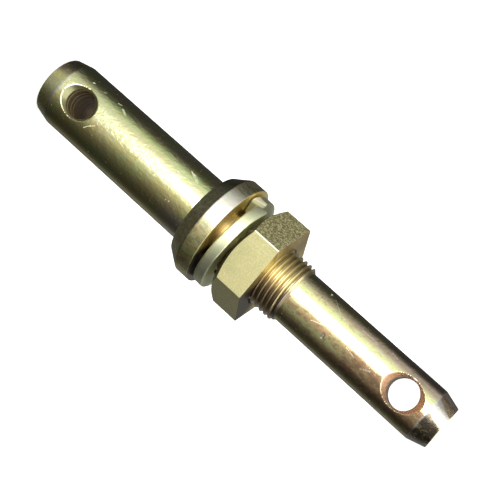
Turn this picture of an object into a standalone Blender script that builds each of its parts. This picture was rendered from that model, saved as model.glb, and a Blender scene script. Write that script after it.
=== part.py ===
# Stepped lower link pin for a tractor's three-point linkage, with its spring washer and hexagon nut.
# The pin stands on its larger end, with its axis along +Z and that end's centre at the origin.
# Run it with blender --background --python part.py, or from the Text Editor.

from math import cos, pi, radians, sin, sqrt, tan

import bmesh
import bpy
from mathutils import Matrix, Vector

MM = 0.001

# Larger shank, from its free end to the seat under the collar
BIG_SHANK_DIAMETER = 28.0 * MM
BIG_SHANK_LENGTH = 79.9 * MM
BIG_TAPER_LENGTH = 6.6 * MM
BIG_TAPER_DEPTH = 1.65 * MM
BIG_HOLE_SETBACK = 17.4 * MM
BIG_HOLE_RIM = 16.0 * MM

# Smaller shank, from the end of the thread to its free end
SMALL_SHANK_DIAMETER = 22.0 * MM
SMALL_SHANK_LENGTH = 70.2 * MM
SMALL_TAPER_LENGTH = 7.1 * MM
SMALL_TAPER_DEPTH = 2.1 * MM
SMALL_HOLE_SETBACK = 17.7 * MM
SMALL_HOLE_RIM = 16.8 * MM

# Both cross holes, which take a linch pin and are countersunk on one side only
CROSS_HOLE_DIAMETER = 12.0 * MM
COUNTERSINK_HALF_ANGLE = radians(40)

# Collar: a flat seat ring, a cone and a cylindrical land, which is as wide as the nut's corners
COLLAR_SEAT_WIDTH = 3.9 * MM
COLLAR_CONE_HEIGHT = 6.1 * MM
COLLAR_LAND_HEIGHT = 6.2 * MM
SHANK_FILLET = 1.2 * MM
EDGE_BREAK = 0.4 * MM

# Thread, twelve turns to the inch, which stands just proud of the smaller shank
THREAD_PITCH = 25.4 / 12 * MM
THREAD_DEPTH = 1.27 * MM
THREAD_CREST_FLAT = 0.26 * MM
THREAD_FLANK_ANGLE = radians(30)
THREAD_OVER_SHANK = 0.33 * MM
THREAD_PAST_NUT = 11.3 * MM
THREAD_RELIEF = 3.2 * MM
THREAD_CLEARANCE = 0.3 * MM

# Spring washer, a left-hand helix that leans between the collar and the nut
WASHER_BORE_CLEARANCE = 0.75 * MM
WASHER_WIDTH = 6.95 * MM
WASHER_THICKNESS = 4.6 * MM
WASHER_RISE = 3.2 * MM
WASHER_SPLIT = 1.8 * MM
WASHER_SPLIT_SLANT = radians(20)
WASHER_LEAN = radians(2.2)
WASHER_SPLIT_AT = radians(215)
WASHER_OUTER_BEVEL = 1.0 * MM
WASHER_INNER_BEVEL = 0.5 * MM
SEAT_GAP = 0.3 * MM

# Thin hexagon nut, chamfered on the washer's side only; its wall is from thread crest to flat
NUT_WALL = 6.45 * MM
NUT_HEIGHT = 14.2 * MM
NUT_FACE_MARGIN = 1.85 * MM
NUT_CHAMFER_ANGLE = radians(31)
NUT_BORE_CHAMFER = 0.3 * MM
NUT_TURNED_BY = radians(-21.8)

# Fineness of the round shapes, and how far a cutter runs past what it cuts
ROUND_STEPS = 48
HOLE_STEPS = 32
THREAD_STEPS = 40
WASHER_STEPS = 56
FILLET_STEPS = 3
CUTTER_OVERRUN = 2.0 * MM
SPARE_TURNS = 2
MERGE_DISTANCE = 0.001 * MM
SHARP_ANGLE = radians(28)

# Sizes that follow from those above
bigRadius = BIG_SHANK_DIAMETER / 2
smallRadius = SMALL_SHANK_DIAMETER / 2
rootRadius = smallRadius + THREAD_OVER_SHANK
crestRadius = rootRadius + THREAD_DEPTH
nutFlatRadius = crestRadius + NUT_WALL
nutCornerRadius = nutFlatRadius * 2 / sqrt(3)
collarRadius = nutCornerRadius
seatHeight = BIG_SHANK_LENGTH
landHeight = seatHeight + COLLAR_CONE_HEIGHT
faceHeight = landHeight + COLLAR_LAND_HEIGHT
threadStart = faceHeight + THREAD_RELIEF
washerHeight = faceHeight + SEAT_GAP


def clearScene():
    for old in list(bpy.data.objects):
        bpy.data.objects.remove(old, do_unlink=True)


def newCollection(name):
    collection = bpy.data.collections.new(name)
    bpy.context.scene.collection.children.link(collection)
    return collection


def metal(name, colour, roughness):
    material = bpy.data.materials.new(name)
    material.use_nodes = True
    material.diffuse_color = (*colour, 1.0)
    shader = material.node_tree.nodes["Principled BSDF"]
    shader.inputs["Base Color"].default_value = (*colour, 1.0)
    shader.inputs["Metallic"].default_value = 1.0
    shader.inputs["Roughness"].default_value = roughness
    return material


def newObject(name, bm, collection):
    bmesh.ops.recalc_face_normals(bm, faces=bm.faces[:])
    mesh = bpy.data.meshes.new(name)
    bm.to_mesh(mesh)
    bm.free()
    obj = bpy.data.objects.new(name, mesh)
    collection.objects.link(obj)
    return obj


def turned(name, profile, steps, collection):
    # The profile runs from the top of the axis down the outer side to the foot of the axis
    mesh = bpy.data.meshes.new(name)
    points = [(r, 0.0, z) for r, z in profile]
    mesh.from_pydata(points, [(i, i + 1) for i in range(len(points) - 1)], [])
    obj = bpy.data.objects.new(name, mesh)
    collection.objects.link(obj)
    screw = obj.modifiers.new("Turn", "SCREW")
    screw.axis = "Z"
    screw.angle = 2 * pi
    screw.steps = screw.render_steps = steps
    screw.use_merge_vertices = True
    screw.merge_threshold = MERGE_DISTANCE
    screw.use_smooth_shade = True
    return obj


def asCutter(obj):
    obj.hide_render = True
    obj.display_type = "WIRE"
    return obj


def combine(obj, other, operation):
    boolean = obj.modifiers.new(operation.title(), "BOOLEAN")
    boolean.operation = operation
    boolean.solver = "EXACT"
    boolean.object = other


def finish(obj, material):
    # The modifiers' result becomes the mesh, smooth where it is round and sharp at its true corners
    bpy.context.view_layer.update()
    evaluated = obj.evaluated_get(bpy.context.evaluated_depsgraph_get())
    mesh = bpy.data.meshes.new_from_object(evaluated)
    mesh.name = obj.name
    obj.modifiers.clear()
    obj.data = mesh
    mesh.materials.clear()
    mesh.materials.append(material)
    mesh.shade_smooth()
    mesh.set_sharp_from_angle(angle=SHARP_ANGLE)


def threadProfile(root, crest, z):
    # One tooth: a flat at the root, a flank, a flat at the crest and the other flank
    flank = (crest - root) * tan(THREAD_FLANK_ANGLE)
    rootFlat = THREAD_PITCH - THREAD_CREST_FLAT - 2 * flank
    heights = [0.0, rootFlat, rootFlat + flank, rootFlat + flank + THREAD_CREST_FLAT, THREAD_PITCH]
    radii = [root, root, crest, crest, root]
    return [(r, z + h) for r, h in zip(radii, heights)]


def threadRod(name, growth, firstTurn, turns, collection):
    # A right-hand helix from a whole number of turns above the thread's start, so that two rods
    # of different growth stay in step
    bm = bmesh.new()
    bottom = threadStart + firstTurn * THREAD_PITCH
    profile = threadProfile(rootRadius + growth, crestRadius + growth, bottom)
    verts = [bm.verts.new((r, 0.0, z)) for r, z in profile]
    edges = [bm.edges.new(pair) for pair in zip(verts, verts[1:])]
    bmesh.ops.spin(
        bm, geom=verts + edges, cent=(0, 0, 0), axis=(0, 0, 1), angle=2 * pi * turns,
        dvec=(0, 0, THREAD_PITCH / THREAD_STEPS), steps=THREAD_STEPS * turns)
    bmesh.ops.remove_doubles(bm, verts=bm.verts[:], dist=MERGE_DISTANCE)
    openEdges = [edge for edge in bm.edges if edge.is_boundary]
    caps = bmesh.ops.holes_fill(bm, edges=openEdges, sides=0)["faces"]
    bmesh.ops.poke(bm, faces=caps)
    return asCutter(newObject(name, bm, collection))


def crossHoleCutter(name, shankRadius, rim, height, collection):
    # A drill laid along Y, with a countersink at the end that faces -Y
    boreRadius = CROSS_HOLE_DIAMETER / 2
    flare = tan(COUNTERSINK_HALF_ANGLE)
    sink = shankRadius - (rim / 2 - boreRadius) / flare
    reach = shankRadius + CUTTER_OVERRUN
    mouth = boreRadius + (reach - sink) * flare
    profile = [(0, reach), (mouth, reach), (boreRadius, sink), (boreRadius, -reach), (0, -reach)]
    cutter = turned(name, profile, HOLE_STEPS, collection)
    cutter.matrix_world = Matrix.Translation((0, 0, height)) @ Matrix.Rotation(radians(90), 4, "X")
    return asCutter(cutter)


def arcPoints(centre, radius, start, end):
    angles = [start + (end - start) * i / FILLET_STEPS for i in range(FILLET_STEPS + 1)]
    return [(centre[0] + radius * cos(a), centre[1] + radius * sin(a)) for a in angles]


def makePin(topHeight, threadEnd, parts, cutters):
    smallEnd = smallRadius - SMALL_TAPER_DEPTH
    bigEnd = bigRadius - BIG_TAPER_DEPTH
    seatRadius = bigRadius + COLLAR_SEAT_WIDTH
    fillet = arcPoints((bigRadius + SHANK_FILLET, seatHeight - SHANK_FILLET),
                       SHANK_FILLET, radians(90), radians(180))
    profile = [
        (0, topHeight),
        (smallEnd - EDGE_BREAK, topHeight),
        (smallEnd, topHeight - EDGE_BREAK),
        (smallRadius, topHeight - SMALL_TAPER_LENGTH),
        (smallRadius, faceHeight),
        (collarRadius - EDGE_BREAK, faceHeight),
        (collarRadius, faceHeight - EDGE_BREAK),
        (collarRadius, landHeight),
        (seatRadius, seatHeight),
        *fillet,
        (bigRadius, BIG_TAPER_LENGTH),
        (bigEnd, EDGE_BREAK),
        (bigEnd - EDGE_BREAK, 0),
        (0, 0),
    ]
    pin = turned("link_pin", profile, ROUND_STEPS, parts)

    # The threaded length is a helical rod trimmed by a blank that is chamfered at both ends
    turns = int((threadEnd - threadStart) / THREAD_PITCH) + 1 + 2 * SPARE_TURNS
    thread = threadRod("thread", 0.0, -SPARE_TURNS, turns, cutters)
    blankRadius = crestRadius + THREAD_CLEARANCE
    tipRadius = (smallRadius + rootRadius) / 2
    chamfer = blankRadius - tipRadius
    blankProfile = [(0, threadEnd), (tipRadius, threadEnd), (blankRadius, threadEnd - chamfer),
                    (blankRadius, threadStart + chamfer), (tipRadius, threadStart), (0, threadStart)]
    blank = asCutter(turned("thread_blank", blankProfile, ROUND_STEPS, cutters))
    combine(thread, blank, "INTERSECT")

    bigHole = crossHoleCutter("big_cross_hole", bigRadius, BIG_HOLE_RIM, BIG_HOLE_SETBACK, cutters)
    smallHole = crossHoleCutter("small_cross_hole", smallRadius, SMALL_HOLE_RIM,
                                topHeight - SMALL_HOLE_SETBACK, cutters)
    combine(pin, thread, "UNION")
    combine(pin, bigHole, "DIFFERENCE")
    combine(pin, smallHole, "DIFFERENCE")
    finish(pin, metal("yellow_zinc_pin", (0.66, 0.55, 0.24), 0.24))


def washerSection():
    # The four corners are bevelled, the outer pair more than the inner pair
    inner = crestRadius + WASHER_BORE_CLEARANCE
    outer = inner + WASHER_WIDTH
    top = WASHER_THICKNESS
    return [
        (inner, WASHER_INNER_BEVEL), (inner + WASHER_INNER_BEVEL, 0),
        (outer - WASHER_OUTER_BEVEL, 0), (outer, WASHER_OUTER_BEVEL),
        (outer, top - WASHER_OUTER_BEVEL), (outer - WASHER_OUTER_BEVEL, top),
        (inner + WASHER_INNER_BEVEL, top), (inner, top - WASHER_INNER_BEVEL),
    ]


def makeWasher(parts):
    bm = bmesh.new()
    section = washerSection()
    outer = max(r for r, z in section)
    slant = tan(WASHER_SPLIT_SLANT) / outer
    corners = []
    for r, z in section:
        angle = WASHER_SPLIT_AT - slant * z
        corners.append(bm.verts.new((r * cos(angle), r * sin(angle), z)))
    face = bm.faces.new(corners)
    sweep = 2 * pi - WASHER_SPLIT / outer
    bmesh.ops.spin(
        bm, geom=[face], cent=(0, 0, 0), axis=(0, 0, -1), angle=sweep,
        dvec=(0, 0, WASHER_RISE / WASHER_STEPS), steps=WASHER_STEPS)

    # The split side is lifted off the collar, as the washer hangs loose on the thread
    splitSide = Vector((cos(WASHER_SPLIT_AT), sin(WASHER_SPLIT_AT), 0))
    hinge = splitSide.cross(Vector((0, 0, 1)))
    lean = Matrix.Rotation(WASHER_LEAN, 3, hinge)
    bmesh.ops.rotate(bm, verts=bm.verts[:], cent=(0, 0, 0), matrix=lean)
    foot = min(v.co.z for v in bm.verts)
    bmesh.ops.translate(bm, verts=bm.verts[:], vec=(0, 0, -foot))
    height = max(v.co.z for v in bm.verts)

    washer = newObject("spring_washer", bm, parts)
    washer.location = (0, 0, washerHeight)
    finish(washer, metal("pale_zinc_washer", (0.62, 0.64, 0.52), 0.34))
    return height


def makeNut(nutHeight, parts, cutters):
    bm = bmesh.new()
    bmesh.ops.create_cone(
        bm, cap_ends=True, segments=6, radius1=nutCornerRadius, radius2=nutCornerRadius, depth=NUT_HEIGHT,
        matrix=Matrix.Translation((0, 0, NUT_HEIGHT / 2)) @ Matrix.Rotation(NUT_TURNED_BY, 4, "Z"))
    nut = newObject("hex_nut", bm, parts)
    nut.location = (0, 0, nutHeight)

    # A cone rounds off the corners on the washer's side
    wide = nutCornerRadius + CUTTER_OVERRUN
    faceRadius = nutFlatRadius - NUT_FACE_MARGIN
    coneHeight = (wide - faceRadius) * tan(NUT_CHAMFER_ANGLE)
    top = NUT_HEIGHT + CUTTER_OVERRUN
    coneProfile = [(0, top), (wide, top), (wide, coneHeight), (faceRadius, 0), (0, 0)]
    cone = asCutter(turned("nut_chamfer", coneProfile, ROUND_STEPS, cutters))
    cone.location = (0, 0, nutHeight)

    # A spool opens the bore at both faces, just past the thread's outer diameter
    waist = smallRadius
    mouth = crestRadius + THREAD_CLEARANCE + NUT_BORE_CHAMFER
    spread = mouth - waist
    spoolProfile = [
        (0, top), (mouth + CUTTER_OVERRUN, top), (waist, NUT_HEIGHT - spread),
        (waist, spread), (mouth + CUTTER_OVERRUN, -CUTTER_OVERRUN), (0, -CUTTER_OVERRUN)]
    spool = asCutter(turned("nut_countersinks", spoolProfile, ROUND_STEPS, cutters))
    spool.location = (0, 0, nutHeight)

    # The tap is the pin's own thread, larger by the clearance and in step with it
    firstTurn = int((nutHeight - threadStart) / THREAD_PITCH) - SPARE_TURNS
    turns = int(NUT_HEIGHT / THREAD_PITCH) + 2 + 2 * SPARE_TURNS
    tap = threadRod("nut_tap", THREAD_CLEARANCE, firstTurn, turns, cutters)

    combine(nut, cone, "INTERSECT")
    combine(nut, spool, "DIFFERENCE")
    combine(nut, tap, "DIFFERENCE")
    finish(nut, metal("yellow_zinc_nut", (0.60, 0.57, 0.27), 0.38))


def main():
    clearScene()
    parts = newCollection("lower_link_pin")
    cutters = newCollection("cutters")
    washerStack = makeWasher(parts)
    nutHeight = washerHeight + washerStack + SEAT_GAP
    threadEnd = nutHeight + NUT_HEIGHT + THREAD_PAST_NUT
    makeNut(nutHeight, parts, cutters)
    makePin(threadEnd + SMALL_SHANK_LENGTH, threadEnd, parts, cutters)
    print("nut seat", round(nutHeight / MM, 3), "thread end", round(threadEnd / MM, 3))


main()
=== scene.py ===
from math import cos, hypot, pi, radians, sin, sqrt, tan

import bmesh
import bpy
from mathutils import Matrix, Quaternion, Vector


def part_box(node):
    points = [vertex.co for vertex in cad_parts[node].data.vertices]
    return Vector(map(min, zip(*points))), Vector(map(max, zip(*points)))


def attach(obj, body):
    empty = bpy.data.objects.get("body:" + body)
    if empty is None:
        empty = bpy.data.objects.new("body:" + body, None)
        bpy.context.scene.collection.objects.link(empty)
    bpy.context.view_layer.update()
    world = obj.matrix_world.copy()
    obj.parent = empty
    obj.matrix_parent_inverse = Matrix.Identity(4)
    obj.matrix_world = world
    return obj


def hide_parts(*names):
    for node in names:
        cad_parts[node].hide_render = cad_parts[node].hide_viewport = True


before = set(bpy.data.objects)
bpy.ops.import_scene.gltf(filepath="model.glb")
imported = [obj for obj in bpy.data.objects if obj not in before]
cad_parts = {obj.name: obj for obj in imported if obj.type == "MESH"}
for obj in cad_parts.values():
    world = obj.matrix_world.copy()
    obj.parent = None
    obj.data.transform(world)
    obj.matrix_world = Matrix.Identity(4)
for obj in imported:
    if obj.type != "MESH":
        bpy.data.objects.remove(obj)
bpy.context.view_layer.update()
mm = 0.001

# Shapes are modelled in millimetres, with the pin's axis on Z, and scaled to metres as each is finished.


def spinOutline(outline, steps):
    # turns (radius, height) points, from the foot of the axis to its top, into a closed body
    bm = bmesh.new()
    points = [bm.verts.new((r, 0, z)) for r, z in outline]
    lines = [bm.edges.new(pair) for pair in zip(points, points[1:])]
    bmesh.ops.spin(bm, geom=points + lines, cent=(0, 0, 0), axis=(0, 0, 1),
                   angle=2 * pi, steps=steps, use_merge=True)
    bmesh.ops.remove_doubles(bm, verts=bm.verts[:], dist=0.001)
    bmesh.ops.recalc_face_normals(bm, faces=bm.faces[:])
    return bm


def softenRing(bm, radius, height, width):
    # rounds one turned corner, outward or inward
    near = 0.02

    def onRing(vert):
        return abs(hypot(vert.co.x, vert.co.y) - radius) < near and abs(vert.co.z - height) < near
    ring = [edge for edge in bm.edges if all(onRing(vert) for vert in edge.verts)]
    bmesh.ops.bevel(bm, geom=ring, offset=width, offset_type="OFFSET", segments=3,
                    profile=0.5, affect="EDGES", material=-1)


def carve(bm, tool, operation):
    # joins, cuts or trims one body with another, and uses both up
    made = []
    for name, shape in (("carvedBody", bm), ("carvingTool", tool)):
        mesh = bpy.data.meshes.new(name)
        shape.to_mesh(mesh)
        shape.free()
        obj = bpy.data.objects.new(name, mesh)
        bpy.context.scene.collection.objects.link(obj)
        made.append(obj)
    body, cutter = made
    boolean = body.modifiers.new("Carve", "BOOLEAN")
    boolean.operation = operation
    boolean.solver = "EXACT"
    boolean.object = cutter
    bpy.context.view_layer.update()
    carved = bpy.data.meshes.new_from_object(body.evaluated_get(bpy.context.evaluated_depsgraph_get()))
    result = bmesh.new()
    result.from_mesh(carved)
    for obj in made:
        mesh = obj.data
        bpy.data.objects.remove(obj)
        bpy.data.meshes.remove(mesh)
    bpy.data.meshes.remove(carved)
    return result


def finishPiece(name, bm, material, body, node, sharpAngle=32):
    bmesh.ops.scale(bm, vec=(mm, mm, mm), verts=bm.verts[:])
    mesh = bpy.data.meshes.new(name)
    bm.to_mesh(mesh)
    bm.free()
    mesh.materials.append(material)
    mesh.shade_smooth()
    mesh.set_sharp_from_angle(angle=radians(sharpAngle))
    piece = bpy.data.objects.new(name, mesh)
    bpy.context.scene.collection.objects.link(piece)
    flats = piece.modifiers.new("FlatsStayFlat", "WEIGHTED_NORMAL")
    flats.keep_sharp = True
    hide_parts(node)
    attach(piece, body)
    print(name, "has", len(mesh.polygons), "faces")


class Wire:
    # one output of a node, so that a pattern can be written as a plain expression
    def __init__(self, tree, socket=None):
        self.tree = tree
        self.socket = socket

    def node(self, kind, settings=None, values=None, output=0):
        made = self.tree.nodes.new(kind)
        for name, value in (settings or {}).items():
            if name == "stops":
                stops = made.color_ramp.elements
                stops[0].position, stops[1].position = value[0][0], value[-1][0]
                for place, colour in value[1:-1]:
                    stops.new(place)
                for stop, (place, colour) in zip(stops, value):
                    stop.color = (*colour, 1.0)
            else:
                setattr(made, name, value)
        for name, value in (values or {}).items():
            if isinstance(value, Wire):
                self.tree.links.new(value.socket, made.inputs[name])
            elif isinstance(value, tuple) and made.inputs[name].type == "RGBA":
                made.inputs[name].default_value = (*value, 1.0)
            else:
                made.inputs[name].default_value = value
        return Wire(self.tree, made.outputs[output])

    def maths(self, operation, *values):
        return self.node("ShaderNodeMath", {"operation": operation}, dict(enumerate(values)))

    def __add__(self, other):
        return self.maths("ADD", self, other)

    def __sub__(self, other):
        return self.maths("SUBTRACT", self, other)

    def __rsub__(self, other):
        return self.maths("SUBTRACT", other, self)

    def __mul__(self, other):
        return self.maths("MULTIPLY", self, other)

    def __truediv__(self, other):
        return self.maths("DIVIDE", self, other)

    __radd__ = __add__

    def mix(self, first, second):
        # the wire is the share of the second colour
        return self.node("ShaderNodeMix", {"data_type": "RGBA"}, {0: self, 6: first, 7: second}, output=2)

    def rise(self, low, high, start=0.0, end=1.0):
        # goes smoothly from start to end while the wire goes from low to high
        return self.node("ShaderNodeMapRange", {"interpolation_type": "SMOOTHSTEP"},
                         {0: self, 1: low, 2: high, 3: start, 4: end})

    def bell(self, centre, width):
        away = (self - centre) / width
        return self.maths("EXPONENT", away * away * -1)

    def stretched(self, across, along):
        # a place scaled differently across the axis and along it
        return self.node("ShaderNodeVectorMath", {"operation": "MULTIPLY"},
                         {0: self, 1: (across, across, along)})

    def noise(self, scale, detail, roughness, distortion=0.0):
        return self.node("ShaderNodeTexNoise", None,
                         {"Vector": self, "Scale": scale, "Detail": detail,
                          "Roughness": roughness, "Distortion": distortion})


def newMetal(name):
    # a material with its shader, and where a point is: in millimetres, round the axis and out from it
    material = bpy.data.materials.new(name)
    material.use_nodes = True
    tree = material.node_tree
    shader = tree.nodes["Principled BSDF"]
    shader.inputs["Metallic"].default_value = 1.0
    start = Wire(tree).node("ShaderNodeTexCoord", output="Object")
    place = start.node("ShaderNodeVectorMath", {"operation": "SCALE"}, {0: start, "Scale": 1000.0})
    x, y, z = (place.node("ShaderNodeSeparateXYZ", None, {0: place}, output=i) for i in range(3))
    turn = x.maths("ARCTAN2", x * -1, y * -1) * (180 / pi)
    radius = x.maths("SQRT", x * x + y * y)
    # what is told apart low and high on the front fades out towards the back, where the two would meet
    front = turn.maths("ABSOLUTE", turn).rise(135, 100)
    return material, shader, {"place": place, "x": x, "y": y, "z": z, "turn": turn, "radius": radius,
                              "front": front}


class Paint:
    # a colour built up in layers, each the finish's colour of that name, laid on through a mask
    def __init__(self, finish, colour):
        self.finish = finish
        self.colour = colour

    def layer(self, mask, tint):
        self.colour = mask.mix(self.colour, self.finish[tint] if isinstance(tint, str) else tint)


def connect(shader, paint, roughness, heightInMm):
    tree = shader.id_data
    bump = heightInMm.node("ShaderNodeBump", None, {"Strength": 1.0, "Distance": mm, "Height": heightInMm})
    tree.links.new(paint.colour.socket, shader.inputs["Base Color"])
    tree.links.new(roughness.socket, shader.inputs["Roughness"])
    tree.links.new(bump.socket, shader.inputs["Normal"])


# The thread is the same on the pin and in the nut.
thread = {
    "pitch": 25.4 / 12,
    "rootRadius": 11.33,
    "depth": 1.27,
    "crestFlat": 0.26,
    "flankAngle": 30,
    "crestRound": 0.07,
    "start": 95.4,  # height of the first whole turn on the pin
    "clearance": 0.3,
    "blankMargin": 0.3,  # how far the trimming blank stands off the crests
    "stepsPerTurn": 96,
    "blankSteps": 192,
}


def helixRod(growth, firstTurn, turns):
    pitch = thread["pitch"]
    slope = tan(radians(thread["flankAngle"]))
    soft = thread["crestRound"]
    root = thread["rootRadius"] + growth
    crest = root + thread["depth"]
    rootFlat = pitch - thread["crestFlat"] - 2 * thread["depth"] * slope
    rise = (thread["depth"] - soft) * slope
    tooth = [(root, 0), (root, rootFlat), (crest - soft, rootFlat + rise),
             (crest, rootFlat + rise + 1.5 * soft), (crest, pitch - rise - 1.5 * soft),
             (crest - soft, pitch - rise), (root, pitch)]
    bottom = thread["start"] + firstTurn * pitch
    bm = bmesh.new()
    points = [bm.verts.new((r, 0, bottom + z)) for r, z in tooth]
    lines = [bm.edges.new(pair) for pair in zip(points, points[1:])]
    steps = thread["stepsPerTurn"]
    bmesh.ops.spin(bm, geom=points + lines, cent=(0, 0, 0), axis=(0, 0, 1), angle=2 * pi * turns,
                   dvec=(0, 0, pitch / steps), steps=steps * turns)
    bmesh.ops.remove_doubles(bm, verts=bm.verts[:], dist=0.001)
    rims = [edge for edge in bm.edges if edge.is_boundary]
    caps = bmesh.ops.holes_fill(bm, edges=rims, sides=0)["faces"]
    bmesh.ops.poke(bm, faces=caps)
    bmesh.ops.recalc_face_normals(bm, faces=bm.faces[:])
    return bm


# The pin

pin = {
    "bigRadius": 14.0,
    "bigLength": 79.9,
    "bigEndRadius": 12.35,
    "bigTaper": 6.6,
    "bigEndEdge": 0.45,  # the edges' rounding
    "bigTaperEdge": 0.5,
    "seatRadius": 17.9,
    "collarRadius": 21.99,
    "coneHeight": 6.1,
    "landHeight": 6.2,
    "fillet": 1.2,
    "seatEdge": 0.35,
    "coneEdge": 0.4,
    "faceEdge": 0.3,
    "smallRadius": 11.0,
    "smallEndRadius": 8.9,
    "smallTaper": 7.1,
    "smallTaperEdge": 0.4,
    "smallEndEdge": 0.35,
    "threadEnd": 126.303,
    "holeRadius": 6.0,
    "bigHoleAt": 17.4,
    "bigHoleNarrows": 0.18,  # how much less its radius is well behind the pin
    "bigRimRadius": 8.0,
    "smallHoleFromTop": 17.7,
    "smallRimRadius": 8.4,
    "countersinkAngle": 40,
    "rimRounding": 0.16,
    "aroundSteps": 288,
    "holeRows": 64,
    "rowMargin": 0.6,  # how far the rows reach beyond a rim
    "drillSteps": 128,
    "drillLength": 40,
}


def dishHole(bm, shankRadius, height, rimRadius):
    # presses a countersink with a rounded rim into the front of a shank
    flare = tan(radians(pin["countersinkAngle"]))
    sink = shankRadius - (rimRadius - pin["holeRadius"]) / flare
    blend = pin["rimRounding"]
    reach = rimRadius + 1.5  # beyond this the shank stays as it was turned
    inner = pin["holeRadius"] - 0.6  # inside this the cone goes flat, and is drilled away
    for vert in bm.verts:
        x, y, z = vert.co
        out = hypot(x, z - height)
        if y > 0 or out > reach or abs(hypot(x, y) - shankRadius) > 0.02:
            continue
        cone = sink + (max(out, inner) - pin["holeRadius"]) / flare
        shank = -y
        share = min(1.0, max(0.0, 0.5 + 0.5 * (cone - shank) / blend))
        depth = cone + (shank - cone) * share - blend * share * (1 - share)
        vert.co.y = -depth


def makePin(material):
    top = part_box("link_pin")[1].z / mm
    bigHole, smallHole = pin["bigHoleAt"], top - pin["smallHoleFromTop"]
    margin = pin["rowMargin"]
    cone = pin["bigLength"] + pin["coneHeight"]
    face = cone + pin["landHeight"]
    bigRows = (bigHole - pin["bigRimRadius"] - margin, bigHole + pin["bigRimRadius"] + margin)
    smallRows = (smallHole - pin["smallRimRadius"] - margin, smallHole + pin["smallRimRadius"] + margin)
    big, small = pin["bigRadius"], pin["smallRadius"]
    bm = spinOutline([
        (0, 0), (pin["bigEndRadius"], 0), (big, pin["bigTaper"]), (big, bigRows[0]), (big, bigRows[1]),
        (big, pin["bigLength"]), (pin["seatRadius"], pin["bigLength"]), (pin["collarRadius"], cone),
        (pin["collarRadius"], face), (small, face), (small, smallRows[0]), (small, smallRows[1]),
        (small, top - pin["smallTaper"]), (pin["smallEndRadius"], top), (0, top)], pin["aroundSteps"])
    for radius, height, width in (
            (pin["bigEndRadius"], 0, pin["bigEndEdge"]), (big, pin["bigTaper"], pin["bigTaperEdge"]),
            (big, pin["bigLength"], pin["fillet"]), (pin["seatRadius"], pin["bigLength"], pin["seatEdge"]),
            (pin["collarRadius"], cone, pin["coneEdge"]), (pin["collarRadius"], face, pin["faceEdge"]),
            (small, top - pin["smallTaper"], pin["smallTaperEdge"]),
            (pin["smallEndRadius"], top, pin["smallEndEdge"])):
        softenRing(bm, radius, height, width)
    print("pin is turned")

    # the thread is a helix, trimmed by a blank that is chamfered at both ends
    pitch = thread["pitch"]
    turns = int((pin["threadEnd"] - thread["start"]) / pitch) + 5
    crest = thread["rootRadius"] + thread["depth"] + thread["blankMargin"]
    tip = (small + thread["rootRadius"]) / 2
    chamfer = crest - tip
    blank = spinOutline([(0, thread["start"]), (tip, thread["start"]), (crest, thread["start"] + chamfer),
                         (crest, pin["threadEnd"] - chamfer), (tip, pin["threadEnd"]),
                         (0, pin["threadEnd"])], thread["blankSteps"])
    bm = carve(bm, carve(helixRod(0, -2, turns), blank, "INTERSECT"), "UNION")
    print("thread is cut")

    # rows of small faces round each hole take the shape of its countersink
    for radius, (low, high) in ((big, bigRows), (small, smallRows)):
        lines = [edge for edge in bm.edges
                 if {round(vert.co.z, 2) for vert in edge.verts} == {round(low, 2), round(high, 2)}]
        bmesh.ops.subdivide_edges(bm, edges=lines, cuts=pin["holeRows"], use_grid_fill=True)
    dishHole(bm, big, bigHole, pin["bigRimRadius"])
    dishHole(bm, small, smallHole, pin["smallRimRadius"])
    drills = bmesh.new()
    for height, narrowing in ((bigHole, pin["bigHoleNarrows"]), (smallHole, 0)):
        turned = Matrix.Translation((0, 0, height)) @ Matrix.Rotation(radians(90), 4, "X")
        bmesh.ops.create_cone(drills, cap_ends=True, segments=pin["drillSteps"],
                              radius1=pin["holeRadius"] - narrowing, radius2=pin["holeRadius"],
                              depth=pin["drillLength"], matrix=turned)
    bm = carve(bm, drills, "DIFFERENCE")
    print("cross holes are drilled")
    finishPiece("steppedPin", bm, material, "pin", "link_pin")


# The spring washer

washer = {
    "boreRadius": 13.35,
    "width": 6.95,
    "thickness": 4.6,
    "rise": 3.2,
    "split": 1.8,
    "splitSlant": 20,
    "lean": 2.2,
    "splitAt": 215,
    "outerRound": 0.7,
    "innerRound": 0.5,
    "endRound": 0.16,
    "steps": 216,
}


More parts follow.
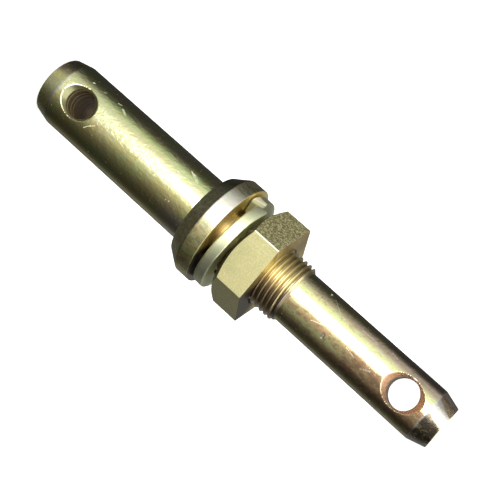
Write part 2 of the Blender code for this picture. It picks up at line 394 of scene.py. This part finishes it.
def makeWasher(material):
    inner, outer = washer["boreRadius"], washer["boreRadius"] + washer["width"]
    splitAt = radians(washer["splitAt"])
    slant = tan(radians(washer["splitSlant"])) / outer
    bm = bmesh.new()
    corners = []
    for r, z in ((inner, 0), (outer, 0), (outer, washer["thickness"]), (inner, washer["thickness"])):
        angle = splitAt - slant * z
        corners.append(bm.verts.new((r * cos(angle), r * sin(angle), z)))
    start = bm.faces.new(corners)
    bmesh.ops.spin(bm, geom=[start], cent=(0, 0, 0), axis=(0, 0, -1),
                   angle=2 * pi - washer["split"] / outer,
                   dvec=(0, 0, washer["rise"] / washer["steps"]), steps=washer["steps"])
    bmesh.ops.recalc_face_normals(bm, faces=bm.faces[:])

    def along(edge, radius):
        # an edge that runs round the washer at this radius
        return all(abs(hypot(v.co.x, v.co.y) - radius) < 0.01 for v in edge.verts) \
            and edge.calc_length() < outer * 2 * pi / washer["steps"] * 1.2
    for radius, width in ((outer, washer["outerRound"]), (inner, washer["innerRound"])):
        lines = [edge for edge in bm.edges if along(edge, radius)]
        bmesh.ops.bevel(bm, geom=lines, offset=width, offset_type="OFFSET", segments=4,
                        profile=0.5, affect="EDGES", material=-1)
    ends = sorted(bm.faces, key=lambda face: len(face.verts))[-2:]
    rims = [edge for face in ends for edge in face.edges]
    bmesh.ops.bevel(bm, geom=rims, offset=washer["endRound"], offset_type="OFFSET", segments=2,
                    profile=0.5, affect="EDGES", material=-1)

    # the split side is lifted off the collar
    hinge = Vector((cos(splitAt), sin(splitAt), 0)).cross(Vector((0, 0, 1)))
    tilt = Matrix.Rotation(radians(washer["lean"]), 3, hinge)
    bmesh.ops.rotate(bm, verts=bm.verts[:], cent=(0, 0, 0), matrix=tilt)
    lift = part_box("spring_washer")[0].z / mm - min(v.co.z for v in bm.verts)
    bmesh.ops.translate(bm, verts=bm.verts[:], vec=(0, 0, lift))
    print("washer is wound")
    finishPiece("springWasher", bm, material, "washer", "spring_washer")


# The nut

nut = {
    "flatRadius": 19.05,
    "height": 14.2,
    "faceMargin": 1.85,
    "chamferAngle": 31,
    "turnedBy": -21.8,
    "cornerRound": 0.3,
    "rimRound": 0.22,
    "mouthChamfer": 0.3,
    "coneSteps": 240,
}


def makeNut(material):
    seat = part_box("hex_nut")[0].z / mm
    corner = nut["flatRadius"] * 2 / sqrt(3)
    bm = bmesh.new()
    middle = Matrix.Translation((0, 0, seat + nut["height"] / 2))
    placed = middle @ Matrix.Rotation(radians(nut["turnedBy"]), 4, "Z")
    bmesh.ops.create_cone(bm, cap_ends=True, segments=6, radius1=corner, radius2=corner,
                          depth=nut["height"], matrix=placed)
    upright = [edge for edge in bm.edges if abs(edge.verts[0].co.z - edge.verts[1].co.z) > 1]
    bmesh.ops.bevel(bm, geom=upright, offset=nut["cornerRound"], offset_type="OFFSET", segments=3,
                    profile=0.5, affect="EDGES", material=-1)
    rim = [edge for edge in bm.edges if all(vert.co.z > seat + nut["height"] - 0.01 for vert in edge.verts)]
    bmesh.ops.bevel(bm, geom=rim, offset=nut["rimRound"], offset_type="OFFSET", segments=2,
                    profile=0.5, affect="EDGES", material=-1)

    # a cone takes the corners off on the washer's side
    faceRadius = nut["flatRadius"] - nut["faceMargin"]
    wide = corner + 2
    top = seat + nut["height"] + 2
    coneTop = seat + (wide - faceRadius) * tan(radians(nut["chamferAngle"]))
    cone = spinOutline([(0, seat), (faceRadius, seat), (wide, coneTop), (wide, top), (0, top)],
                      nut["coneSteps"])
    bm = carve(bm, cone, "INTERSECT")

    # the bore: a mouth at both faces, and the pin's own thread, a little larger
    waist = pin["smallRadius"]
    mouth = thread["rootRadius"] + thread["depth"] + thread["clearance"] + nut["mouthChamfer"]
    spread = mouth - waist
    spool = spinOutline([(0, seat - 2), (mouth + 2, seat - 2), (waist, seat + spread),
                         (waist, seat + nut["height"] - spread), (mouth + 2, top), (0, top)],
                        thread["blankSteps"])
    bm = carve(bm, spool, "DIFFERENCE")
    firstTurn = int((seat - thread["start"]) / thread["pitch"]) - 2
    turns = int(nut["height"] / thread["pitch"]) + 6
    bm = carve(bm, helixRod(thread["clearance"], firstTurn, turns), "DIFFERENCE")
    print("nut is tapped")
    finishPiece("hexNut", bm, material, "nut", "hex_nut")


# Finishes


def scratch(across, along, path, width):
    # 1 on a line of points given in millimetres across and along a surface, 0 beside it
    mask = None
    for (x0, z0), (x1, z1) in zip(path, path[1:]):
        dx, dz = x1 - x0, z1 - z0
        share = (across - x0) * (dx / (dx * dx + dz * dz)) + (along - z0) * (dz / (dx * dx + dz * dz))
        share = share.node("ShaderNodeClamp", None, {0: share})
        offX, offZ = across - x0 - share * dx, along - z0 - share * dz
        line = (offX * offX + offZ * offZ).rise(width * width, width * width * 0.1)
        mask = line if mask is None else mask.maths("MAXIMUM", mask, line)
    return mask


def markOn(at, bodyRadius, path, width):
    # a scratch whose points are given in degrees round from the front and height
    arc = bodyRadius * pi / 180
    return scratch(at["turn"] * arc, at["z"], [(angle * arc, height) for angle, height in path], width)


pinFinish = {
    "olive": (0.76, 0.73, 0.29),
    "pale": (0.76, 0.765, 0.43),
    "darkOlive": (0.52, 0.48, 0.20),
    "paleGreen": (0.68, 0.72, 0.38),
    "gold": (0.80, 0.62, 0.24),
    "green": (0.64, 0.78, 0.32),
    "copper": (0.76, 0.50, 0.25),
    "tan": (0.76, 0.66, 0.42),
    "pinkTan": (0.88, 0.69, 0.50),
    "redBrown": (0.46, 0.26, 0.13),
    "darkBrown": (0.34, 0.24, 0.15),
    "plum": (0.46, 0.32, 0.28),
    "lilac": (0.68, 0.58, 0.56),
    "deepGold": (0.82, 0.63, 0.22),
    "threadGold": (0.80, 0.70, 0.36),
    "smallSink": (0.68, 0.45, 0.29),
    "smallRim": (0.80, 0.70, 0.50),
    "smallBore": (0.42, 0.32, 0.24),
    "bigRim": (0.54, 0.48, 0.42),
    "bigSink": (0.34, 0.36, 0.17),
    "bigBore": (0.16, 0.11, 0.05),
    "bareZinc": (0.86, 0.85, 0.72),
    "boreGold": (0.62, 0.54, 0.24),
    "dullBrown": (0.36, 0.29, 0.20),
    "nearBlack": (0.10, 0.085, 0.06),
    "edgeGrey": (0.70, 0.66, 0.66),
    "roughness": 0.19,
    "coat": 0.5,
    "coatRoughness": 0.12,
    "grainDepth": 0.004,
    "waveDepth": 0.05,
    "fleckDepth": 0.065,
    # nicks, scratches and smears: degrees round from the front and height, half their width, how bright
    "bigMarks": [
        ([(-24.2, 25.1), (-16.3, 26.8), (-9.7, 28.6)], 0.3, 0.7), ([(41.8, 14.9), (42.6, 15.3)], 0.36, 1.0),
        ([(41.4, 20.8), (43.2, 21.6)], 0.2, 0.5), ([(43.9, 28.0), (46.3, 29.4)], 0.26, 0.7),
        ([(35.6, 33.6), (38.0, 32.6), (40.6, 31.2)], 0.55, 0.5), ([(-1.2, 52.4), (11.0, 53.2)], 0.16, 0.7),
        ([(-22.4, 68.4), (-21.4, 68.6)], 0.26, 0.8), ([(-20.4, 69.9), (-19.6, 70.0)], 0.22, 0.8),
        ([(30.5, 73.0), (34.5, 71.4), (37.2, 69.8)], 0.9, 0.4), ([(36.0, 70.4), (39.5, 68.2)], 0.35, 0.8),
        ([(-3.5, 45.8), (-1.0, 47.6)], 0.2, 0.6), ([(3.0, 58.0), (4.0, 49.0)], 0.5, 0.3)],
    "smallMarks": [
        ([(57.0, 136.9), (60.0, 136.9)], 0.42, 1.0), ([(-12.0, 138.2), (-3.7, 142.3)], 0.24, 0.9),
        ([(-6.2, 153.9), (-10.3, 158.1)], 0.14, 0.7), ([(44.0, 169.6), (47.5, 167.0)], 0.4, 0.35),
        ([(29.0, 147.5), (36.0, 143.8), (45.0, 141.2), (56.0, 139.0)], 0.12, 0.4),
        ([(38.0, 161.0), (41.0, 158.0), (39.0, 154.0)], 0.6, 0.25),
        ([(-18.0, 162.5), (-10.0, 165.5)], 0.5, 0.35)],
    "smallPits": [([(-22.5, 144.9), (-17.0, 144.9)], 0.7)],
}


def pinZinc():
    material, shader, at = newMetal("yellowZincPin")
    place, x, y, z = at["place"], at["x"], at["y"], at["z"]
    turn, radius, front = at["turn"], at["radius"], at["front"]
    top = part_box("link_pin")[1].z / mm
    smallHole = top - pin["smallHoleFromTop"]
    seat = pin["bigLength"]
    face = seat + pin["coneHeight"] + pin["landHeight"]
    shader.inputs["Coat Roughness"].default_value = pinFinish["coatRoughness"]

    # slow drifts of tint in the chromate, flecks and specks, and fine grain
    clouds = place.stretched(1, 0.45).noise(0.09, 3, 0.6, 0.8)
    drift = place.stretched(1, 0.3).noise(0.16, 2, 0.5, 1.2)
    flecks = place.stretched(1, 0.6).noise(0.7, 3, 0.65, 0.5)
    specks = place.stretched(1, 0.5).noise(1.6, 2, 0.6, 0.6)
    streaks = place.stretched(1, 0.35).noise(0.38, 3, 0.6, 0.8)
    grain = place.noise(2.4, 3, 0.7)
    frost = specks * 0.4 + flecks * 0.6
    # the front and upper side are paler than the low side: a painted highlight where the light runs along
    # the shanks
    paint = Paint(pinFinish, (turn.rise(-12, 4) * front).mix(pinFinish["olive"], pinFinish["pale"]))
    paint.layer(clouds.rise(0.47, 0.62) * 0.5, "gold")
    paint.layer(drift.rise(0.54, 0.68) * 0.7, "green")
    paint.layer(drift.rise(0.42, 0.30) * 0.5, "copper")
    paint.layer(clouds.rise(0.38, 0.28) * 0.5, "lilac")
    paint.layer(streaks.rise(0.55, 0.66) * 0.55, "gold")
    paint.layer(streaks.rise(0.44, 0.34) * 0.5, "tan")
    # painted highlight: where the light runs along the shanks its colour is a dimmer pale green away from
    # the collar on the larger, and frosted with paler and darker flecks
    paint.layer(z.rise(68, 52) * turn.bell(8, 14) * 0.8, "paleGreen")
    paint.layer(frost.rise(0.47, 0.62) * turn.bell(8, 18) * 0.35, "bareZinc")
    paint.layer(frost.rise(0.50, 0.40) * turn.bell(0, 26) * 0.3, "darkOlive")

    # the smaller shank is redder low on its front and greener high on it: chromate tints, partly a painted
    # sheen, the colour fringes below and above its highlight
    onSmall = z.rise(face, face + 6)
    copper = onSmall * turn.rise(-56, -34) * turn.rise(4, -8) * (drift.rise(0.62, 0.46) * 0.6 + 0.4)
    paint.layer(copper * flecks.rise(0.3, 0.5, 0.7, 1.0), "copper")
    red = onSmall * turn.rise(-60, -40) * turn.rise(2, -6) * z.rise(148, 160)
    paint.layer(red * flecks.rise(0.36, 0.6, 1.0, 0.7), "redBrown")
    paint.layer(onSmall * turn.bell(-26, 7) * z.rise(158, 148) * 0.6, "green")
    paint.layer(onSmall * turn.bell(24, 6) * 0.55, "green")
    paint.layer(onSmall * turn.bell(40, 10) * 0.8, "tan")
    flaky = onSmall * z.rise(140, 156) * turn.bell(43, 9)
    paint.layer(flaky * 0.8, "pinkTan")
    paint.layer(flaky * frost.rise(0.52, 0.60) * 0.7, "lilac")
    # painted shade: the smaller shank darkens brown towards both its edges, and high on its upper side near
    # the end it turns plum
    sides = turn.rise(-34, -52) + turn.rise(46, 60)
    paint.layer(onSmall * sides * 0.35, "darkBrown")
    paint.layer(onSmall * turn.rise(44, 54) * front * z.rise(160, 172) * 0.7, "plum")

    # the larger one is green along its upper side, partly a painted sheen at the upper edge of its
    # highlight, and lilac low beside the collar and towards its back
    onBig = z.rise(seat, seat - 1)
    paint.layer(onBig * turn.bell(24, 8) * 0.6, "paleGreen")
    paint.layer(onBig * turn.bell(33, 5) * drift.rise(0.35, 0.55) * 0.7, "green")
    paint.layer(onBig * turn.rise(-20, -40) * front * z.rise(62, 78) * 0.7, "lilac")
    paint.layer(onBig * turn.rise(40, 60) * front * drift.rise(0.62, 0.40) * 0.5, "lilac")

    # both are flecked
    paint.layer(flecks.rise(0.62, 0.74) * 0.35, "lilac")
    paint.layer(onSmall * flecks.rise(0.48, 0.36) * 0.35, "dullBrown")
    onLowSide = onSmall * turn.rise(4, -8) * front
    paint.layer(onLowSide * frost.rise(0.50, 0.42) * 0.4, "darkBrown")
    paint.layer(onLowSide * frost.rise(0.53, 0.62) * 0.4, "tan")

    # the tapered ends are blotchy, with a worn grey line where they meet the shanks
    bigLine, smallLine = pin["bigTaper"], top - pin["smallTaper"]
    onTip = z.rise(smallLine - 0.2, smallLine + 0.2)
    onFoot = z.rise(bigLine + 0.2, bigLine - 0.2)
    blotches = place.stretched(1, 0.8).noise(0.5, 4, 0.7, 0.6)
    patches = place.stretched(1, 0.6).noise(0.2, 3, 0.6, 0.6)
    paint.layer(onFoot * 0.8, "olive")
    # on the larger end's taper the upper side is darker brown, a painted shade, and a pale band low on the
    # front is a painted highlight
    paint.layer(onFoot * patches.rise(0.50, 0.60) * (turn.rise(-4, 8) * front * 0.6 + 0.3), "dullBrown")
    paint.layer(onFoot * turn.rise(14, 26) * front * 0.75, "dullBrown")
    paint.layer(onFoot * turn.bell(-6, 14) * 0.8, "pale")
    paint.layer(onFoot * patches.rise(0.46, 0.38) * 0.4, "gold")
    # a painted highlight: a bright pale grey band lies slantwise over the smaller one, with painted shade
    # beside it, blotched brown and olive and darkest below it
    bandTurn = turn + (z - smallLine) * 2.1
    shadeBesideBand = bandTurn.rise(13, 5) + bandTurn.rise(38, 46)
    paint.layer(onTip * 0.8, "edgeGrey")  # all that shows in the band
    paint.layer(onTip * shadeBesideBand * (blotches.rise(0.40, 0.52) * 0.5 + 0.5), "darkBrown")
    paint.layer(onTip * shadeBesideBand * blotches.rise(0.55, 0.64) * 0.5, "olive")
    paint.layer(onTip * bandTurn.rise(13, 5) * front * blotches.rise(0.62, 0.50) * 0.85, "nearBlack")
    edgeLine = (z.bell(bigLine + 0.2, 0.5) + z.bell(smallLine - 0.2, 0.4)) * blotches.rise(0.35, 0.55)
    paint.layer(edgeLine * 0.8, "edgeGrey")

    # the collar is browner; over its land's highlight and above it lies a pinkish grey, partly a pink tint
    # and partly a painted highlight, and the land's blotchy brown on both sides of it is partly painted
    # shade
    onCollar = z.rise(seat + 0.2, seat + 0.6) * radius.rise(14.5, 16)
    onCone = onCollar * z.rise(seat + pin["coneHeight"] + 0.1, seat + pin["coneHeight"] - 0.2)
    onLand = onCollar - onCone
    paint.layer(onCone * flecks.rise(0.35, 0.60, 0.7, 0.3), "dullBrown")
    paint.layer(onLand * turn.rise(8, -10) * front * flecks.rise(0.54, 0.42) * 0.5, "dullBrown")
    paint.layer(onLand * turn.bell(26, 26) * 0.7, "edgeGrey")
    paint.layer(onLand * turn.rise(36, 46) * front * flecks.rise(0.50, 0.60) * 0.6, "dullBrown")

    # the collar's face towards the nut is a deeper gold, a painted reflection of the gold parts round it,
    # with a painted shadow on its low side; the thread is a deeper gold too, with painted shade in its
    # roots, on its low side and where it runs out
    onFace = z.rise(face - 0.08, face - 0.02) * z.rise(face + 0.3, face + 0.1)
    onThread = z.rise(face, face + 0.2) * z.rise(pin["threadEnd"] + 0.1, pin["threadEnd"] - 0.1)
    paint.layer(onFace, "deepGold")
    paint.layer(onFace * turn.rise(-24, -40) * front, "nearBlack")
    paint.layer(onThread * 0.8, "threadGold")
    runOut = z.rise(pin["threadEnd"] - 1.8, pin["threadEnd"] - 1.3) * turn.rise(8, -4) * front
    dark = radius.rise(11.9, 11.4) * 0.7 + turn.rise(-6, -28) * front * 0.75
    paint.layer(onThread * dark.maths("MINIMUM", dark, 0.9), "darkBrown")
    paint.layer(onThread * runOut * 0.75, "nearBlack")

    # nicks and scratches show bright bare zinc
    wear = specks.rise(0.71, 0.76) * 0.5
    groove = specks.rise(0.71, 0.76) * 0.012
    for marks, shankRadius, onShank in (("bigMarks", pin["bigRadius"], onBig),
                                        ("smallMarks", pin["smallRadius"], onSmall)):
        for path, width, bright in pinFinish[marks]:
            line = markOn(at, shankRadius, path, width) * onShank * grain.rise(0.36, 0.52) * bright
            wear = wear.maths("MAXIMUM", wear, line)
            groove = groove + line * 0.06
    for path, width in pinFinish["smallPits"]:
        pit = onSmall * markOn(at, pin["smallRadius"], path, width)
        paint.layer(pit * 0.7, "lilac")
        groove = groove + pit * 0.12
    paint.layer(wear * 0.8, "bareZinc")

    # the end faces are evenly tinted and faintly turned
    onEnds = z.rise(top - 0.25, top - 0.05) + z.rise(0.25, 0.05)
    endTint = (flecks.rise(0.45, 0.60) * 0.6).mix(pinFinish["olive"], pinFinish["tan"])
    endTint = (frost.rise(0.54, 0.62) * 0.4).mix(endTint, pinFinish["dullBrown"])
    paint.layer(onEnds, endTint)
    turned = radius.maths("SINE", radius * 9) * onEnds

    # fine dark grain lies over all but the countersinks and bores
    paint.layer(grain.rise(0.54, 0.68) * 0.22, "dullBrown")
    # the countersinks are duller, and the bores dark, both with rings that the drill left; the bores' dark
    # brown is their drilled surface, and its near black in the larger is painted shade inside the hole
    inBore, inSink = [], []
    for height, rim, shankRadius, rimColour, sinkColour, sinkGrain in (
            (pin["bigHoleAt"], pin["bigRimRadius"], pin["bigRadius"], "bigRim", "bigSink", 0.6),
            (smallHole, pin["smallRimRadius"], pin["smallRadius"], "smallRim", "smallSink", 0.15)):
        across = z - height
        out = x.maths("SQRT", x * x + across * across)
        bore = out.rise(pin["holeRadius"] + 0.12, pin["holeRadius"] + 0.04)
        mouth = y.rise(1, -1) * out.rise(rim + 0.5, rim + 0.2)
        sink = mouth * radius.rise(shankRadius - 0.12, shankRadius - 0.3)
        paint.layer(mouth * radius.rise(shankRadius - 0.01, shankRadius - 0.05) * 0.8, rimColour)
        paint.layer(sink, sinkColour)
        paint.layer(sink * grain.rise(0.44, 0.60) * sinkGrain, "dullBrown")
        inBore.append(bore)
        inSink.append(sink)
    inBore, inSink = inBore[0] + inBore[1], inSink[0] + inSink[1]
    rings = y.maths("SINE", (y + flecks * 1.5) * 1.9) * 0.5 + y.maths("SINE", y * 4.9) * 0.3
    paint.layer(inBore, onSmall.mix(pinFinish["bigBore"], pinFinish["smallBore"]))
    paint.layer(inBore * rings.rise(0.40, 0.62) * y.rise(1, -6), "boreGold")

    roughness = grain.rise(0.3, 0.7, pinFinish["roughness"] - 0.04, pinFinish["roughness"] + 0.06)
    dull = inBore.maths("MAXIMUM", inBore, inSink) * 0.22
    dull = dull + (onThread * radius.rise(14, 13) + onFace + onLand) * 0.12
    roughness = roughness + dull + flecks.rise(0.6, 0.75) * 0.06 + wear * 0.2 + (onFoot + onTip) * 0.08
    height = (grain - 0.5) * pinFinish["grainDepth"] + (clouds - 0.5) * pinFinish["waveDepth"] \
        + (flecks - 0.5) * (pinFinish["fleckDepth"] + onTip * 0.03 + (onBig + onCone) * 0.03) \
        + rings * (inBore * 0.06 + inSink * 0.02) + turned * 0.008 - groove
    tree = shader.id_data
    tree.links.new(((1 - inBore) * pinFinish["coat"]).socket, shader.inputs["Coat Weight"])
    tree.links.new((1 - inBore * 0.5 - wear * 0.35).socket, shader.inputs["Metallic"])
    connect(shader, paint, roughness, height)
    return material


washerFinish = {
    "pale": (0.77, 0.79, 0.53),
    "shade": (0.70, 0.72, 0.46),
    "cutGold": (0.84, 0.62, 0.24),
    "bloom": (1.0, 0.97, 0.72),
    "roughness": 0.42,
}


def washerZinc():
    material, shader, at = newMetal("paleZincWasher")
    place, z, turn, radius = at["place"], at["z"], at["turn"], at["radius"]
    clouds = place.noise(0.2, 3, 0.6)
    spots = place.noise(0.55, 3, 0.65)
    grain = place.noise(2.2, 3, 0.7)
    paint = Paint(washerFinish, clouds.rise(0.4, 0.65).mix(washerFinish["pale"], washerFinish["shade"]))
    paint.layer(spots.rise(0.55, 0.70) * 0.5, "shade")
    # beside the split, a pale patch on the outer side is a painted highlight standing in for a sheared
    # facet that catches the light; the patch is also rougher
    beside = turn.rise(52, 54) * turn.rise(67, 65) * z.rise(98.4, 98.0) * radius.rise(18, 19)
    paint.layer(beside, "bloom")
    # gold in the bore
    bore = radius.rise(washer["boreRadius"] + 0.3, washer["boreRadius"] + 0.1)
    paint.layer(bore, "cutGold")
    rough = washerFinish["roughness"]
    roughness = grain.rise(0.3, 0.7, rough - 0.05, rough + 0.07) + beside * 0.2
    height = (grain - 0.5) * 0.02 + (spots - 0.5) * 0.022
    connect(shader, paint, roughness, height)
    return material


nutFinish = {
    "pale": (0.60, 0.55, 0.275),
    "olive": (0.52, 0.49, 0.24),
    "brown": (0.40, 0.33, 0.13),
    "bright": (1.0, 0.94, 0.54),
    "gold": (0.62, 0.49, 0.22),
    "dark": (0.06, 0.05, 0.035),
    "bareZinc": (0.86, 0.85, 0.72),
    "faceAt": -8.2,  # degrees round from the front to the middle of the face towards the camera
    "roughness": 0.38,
    "axialLines": 0.02,
    "coarseGrain": 0.32,
    "marks": [([(12.7, 103.6), (12.7, 113.1)], 0.09), ([(53.4, 114.7), (54.6, 114.2)], 0.35)],
}


def nutZinc():
    material, shader, at = newMetal("satinZincNut")
    place, z, turn, radius, front = at["place"], at["z"], at["turn"], at["radius"], at["front"]
    clouds = place.noise(0.15, 3, 0.6)
    grain = place.noise(2.4, 3, 0.7)
    coarse = place.noise(1.25, 3, 0.65, 0.6)
    lines = place.stretched(1, 0.05).noise(2.2, 3, 0.7)
    seat, top = (corner.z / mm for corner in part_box("hex_nut"))
    faceAt = nutFinish["faceAt"]
    # the face above the front one was left rough, mottled brown and bright; the one below it is lightened,
    # a painted light on that face
    above = turn.rise(faceAt + 29, faceAt + 31) * turn.rise(faceAt + 91, faceAt + 89)
    below = turn.rise(faceAt - 29, faceAt - 31) * turn.rise(faceAt - 91, faceAt - 89)
    onEnd = z.rise(top - 0.1, top - 0.02)
    paint = Paint(nutFinish, clouds.rise(0.4, 0.65).mix(nutFinish["pale"], nutFinish["olive"]))
    paint.layer(lines.rise(0.45, 0.75) * 0.5, "olive")
    paint.layer(above * coarse.rise(0.55, 0.44), "brown")
    paint.layer(above * coarse.rise(0.50, 0.56), "bright")
    paint.layer(below * 0.3, "bright")
    paint.layer(grain.rise(0.50, 0.60) * 0.6, "olive")
    paint.layer(grain.rise(0.47, 0.38) * 0.35, "bright")
    # the chamfer's surface lies in the washer's shade
    chamfer = (radius - nut["flatRadius"] + nut["faceMargin"]) * tan(radians(nut["chamferAngle"]))
    paint.layer((z - seat - chamfer).rise(0.12, 0.04) * 0.7, "dark")
    # the end face and the threads are a deeper gold, and shaded beside the thread's low side
    paint.layer(onEnd, "gold")
    inBore = radius.rise(14.2, 13.6)
    paint.layer(inBore, "gold")
    shaded = turn.rise(24, 40) * 0.35 + turn.rise(-22, -42) * 0.95
    atMouth = onEnd.maths("MAXIMUM", onEnd, inBore * z.rise(top - 1.6, top - 0.8))
    paint.layer(atMouth * shaded * front, "dark")
    # the corner above the front face is painted bright, a painted highlight along its rounding, and a
    # scratch runs along the face
    worn = turn.bell(faceAt + 30, 0.9)
    for path, width in nutFinish["marks"]:
        line = markOn(at, nut["flatRadius"], path, width)
        worn = worn.maths("MAXIMUM", worn, line * grain.rise(0.36, 0.52) * 0.7)
    paint.layer(worn * 0.8, "bareZinc")
    rough = nutFinish["roughness"]
    roughness = grain.rise(0.3, 0.7, rough - 0.05, rough + 0.07) + above * 0.06
    height = (grain - 0.5) * 0.014 + (lines - 0.5) * nutFinish["axialLines"] \
        + above * (coarse - 0.5) * nutFinish["coarseGrain"]
    connect(shader, paint, roughness, height)
    return material


# The studio: a pale floor, a soft surround with its main light beside the camera, and the camera

studio = {
    # brightness of the surround at each angle round the object: 0 is the camera's side, + is towards -X
    "around": [(-180, 0.3), (-168, 0.2), (-158, 0.15), (-142, 0.25), (-124, 0.08), (-108, 0.035),
               (-90, 0.04), (-72, 0.07), (-58, 0.12), (-44, 0.24), (-32, 0.42), (-20, 0.80), (-8, 0.98),
               (2, 1.1), (16, 1.35), (42, 1.35), (60, 1.04), (70, 0.58), (78, 0.2), (88, 0.07),
               (100, 0.045), (164, 0.05), (174, 0.22), (180, 0.3)],
    # how much of it is left at each height above (+) or below (-) the horizon
    "height": [(-90, 0.0), (-66, 0.08), (-52, 0.42), (-34, 0.52), (-24, 0.68), (-16, 1.0), (35, 1.0),
               (55, 0.4), (90, 0.2)],
    # the main light: where it starts and ends round the object, and from which height it fades
    "mainLight": {"around": (-3, 33), "edge": 4, "fullFrom": -17.2, "goneBy": -20.8, "strength": 4.5},
    # weaker glows beside it, seen only near the horizon: angle, width, strength and where they fade in
    "sideGlows": [(-50, 20, 0.2, -16, -8), (80, 11, 0.26, -16, -8), (94, 11, 0.38, -8, -3)],
    "overhead": 2.4,
    "ground": 0.09,
    "backWall": 0.18,
    "background": 1.2,
    "floorSize": 6,
    "floorDrop": 0.0002,  # how far the floor lies under the pin's end
    "floorWhite": 0.95,
    "floorRoughness": 0.9,
    "floorGlow": 0.5,
}


def makeStudio():
    world = bpy.data.worlds.new("softSurround")
    bpy.context.scene.world = world
    world.use_nodes = True
    tree = world.node_tree
    tree.nodes.clear()
    sight = Wire(tree).node("ShaderNodeTexCoord", output="Generated")
    x, y, z = (sight.node("ShaderNodeSeparateXYZ", None, {0: sight}, output=i) for i in range(3))
    turn = x.maths("ARCTAN2", x * -1, y * -1) * (180 / pi)
    lift = z.maths("ARCSINE", z) * (180 / pi)
    most = max(level for angle, level in studio["around"])
    grey = [((angle + 180) / 360, (level / most,) * 3) for angle, level in studio["around"]]
    around = turn.node("ShaderNodeValToRGB", {"stops": grey}, {0: (turn + 180) / 360})
    grey = [((angle + 90) / 180, (level,) * 3) for angle, level in studio["height"]]
    height = lift.node("ShaderNodeValToRGB", {"stops": grey}, {0: (lift + 90) / 180})
    overhead = lift.rise(48, 62) * studio["overhead"] + lift.rise(-42, -66) * studio["ground"]
    backWall = lift.rise(2, 16) * turn.maths("ABSOLUTE", turn).rise(95, 125) * studio["backWall"]
    main = studio["mainLight"]
    first, last, edge = *main["around"], main["edge"]
    beam = turn.rise(first - edge, first + edge) * turn.rise(last + edge, last - edge) \
        * lift.rise(main["goneBy"], main["fullFrom"]) * lift.rise(48, 34) * main["strength"]
    strength = around * height * most + beam + overhead + backWall
    # high up, only the middle of the front is bright
    sides = (turn.rise(-2, -14) + turn.rise(54, 68)) * lift.rise(14, 26) * lift.rise(52, 44)
    strength = strength * (1 - sides * 0.85)
    for angle, width, level, low, high in studio["sideGlows"]:
        strength = strength + turn.bell(angle, width) * lift.rise(low, high) * lift.rise(48, 34) * level
    glow = strength.node("ShaderNodeBackground", None, {"Color": (1.0, 1.0, 0.98), "Strength": strength})
    paper = strength.node("ShaderNodeBackground", None,
                          {"Color": (1.0, 1.0, 1.0), "Strength": studio["background"]})
    direct = strength.node("ShaderNodeLightPath", output="Is Camera Ray")
    shown = direct.node("ShaderNodeMixShader", None, {0: direct, 1: glow, 2: paper})
    out = tree.nodes.new("ShaderNodeOutputWorld")
    tree.links.new(shown.socket, out.inputs["Surface"])

    bpy.ops.mesh.primitive_plane_add(size=studio["floorSize"], location=(0, 0, -studio["floorDrop"]))
    floor = bpy.context.object
    floor.name = "paleFloor"
    white = bpy.data.materials.new("paleFloor")
    white.use_nodes = True
    shader = white.node_tree.nodes["Principled BSDF"]
    shader.inputs["Base Color"].default_value = (*(studio["floorWhite"],) * 3, 1)
    shader.inputs["Roughness"].default_value = studio["floorRoughness"]
    shader.inputs["Specular IOR Level"].default_value = 0.0
    shader.inputs["Emission Color"].default_value = (1, 1, 1, 1)
    shader.inputs["Emission Strength"].default_value = studio["floorGlow"]
    floor.data.materials.append(white)
    floor.visible_glossy = False
    floor.visible_shadow = False
    bpy.context.scene.view_settings.view_transform = "Standard"
    print("studio is set")


shot = {
    "aim": (-0.0017, 0.0, 0.10189),
    "distance": 0.3972,
    "elevation": 13.79,
    "roll": 131.88,
    "lens": 76.95,
    "sensor": 36.0,
    "clip": (0.02, 20),
}


def makeCamera():
    camera = bpy.data.cameras.new("productCamera")
    camera.lens = shot["lens"]
    camera.sensor_width = shot["sensor"]
    camera.clip_start, camera.clip_end = shot["clip"]
    holder = bpy.data.objects.new("productCamera", camera)
    bpy.context.scene.collection.objects.link(holder)
    lift = radians(shot["elevation"])
    back = Vector((0, -cos(lift), sin(lift)))
    holder.location = Vector(shot["aim"]) + back * shot["distance"]
    holder.rotation_mode = "QUATERNION"
    roll = Quaternion((0, 0, 1), radians(shot["roll"]))
    holder.rotation_quaternion = (-back).to_track_quat("-Z", "Y") @ roll
    bpy.context.scene.camera = holder
    print("camera is placed")


makeStudio()
makeCamera()
makePin(pinZinc())
makeWasher(washerZinc())
makeNut(nutZinc())
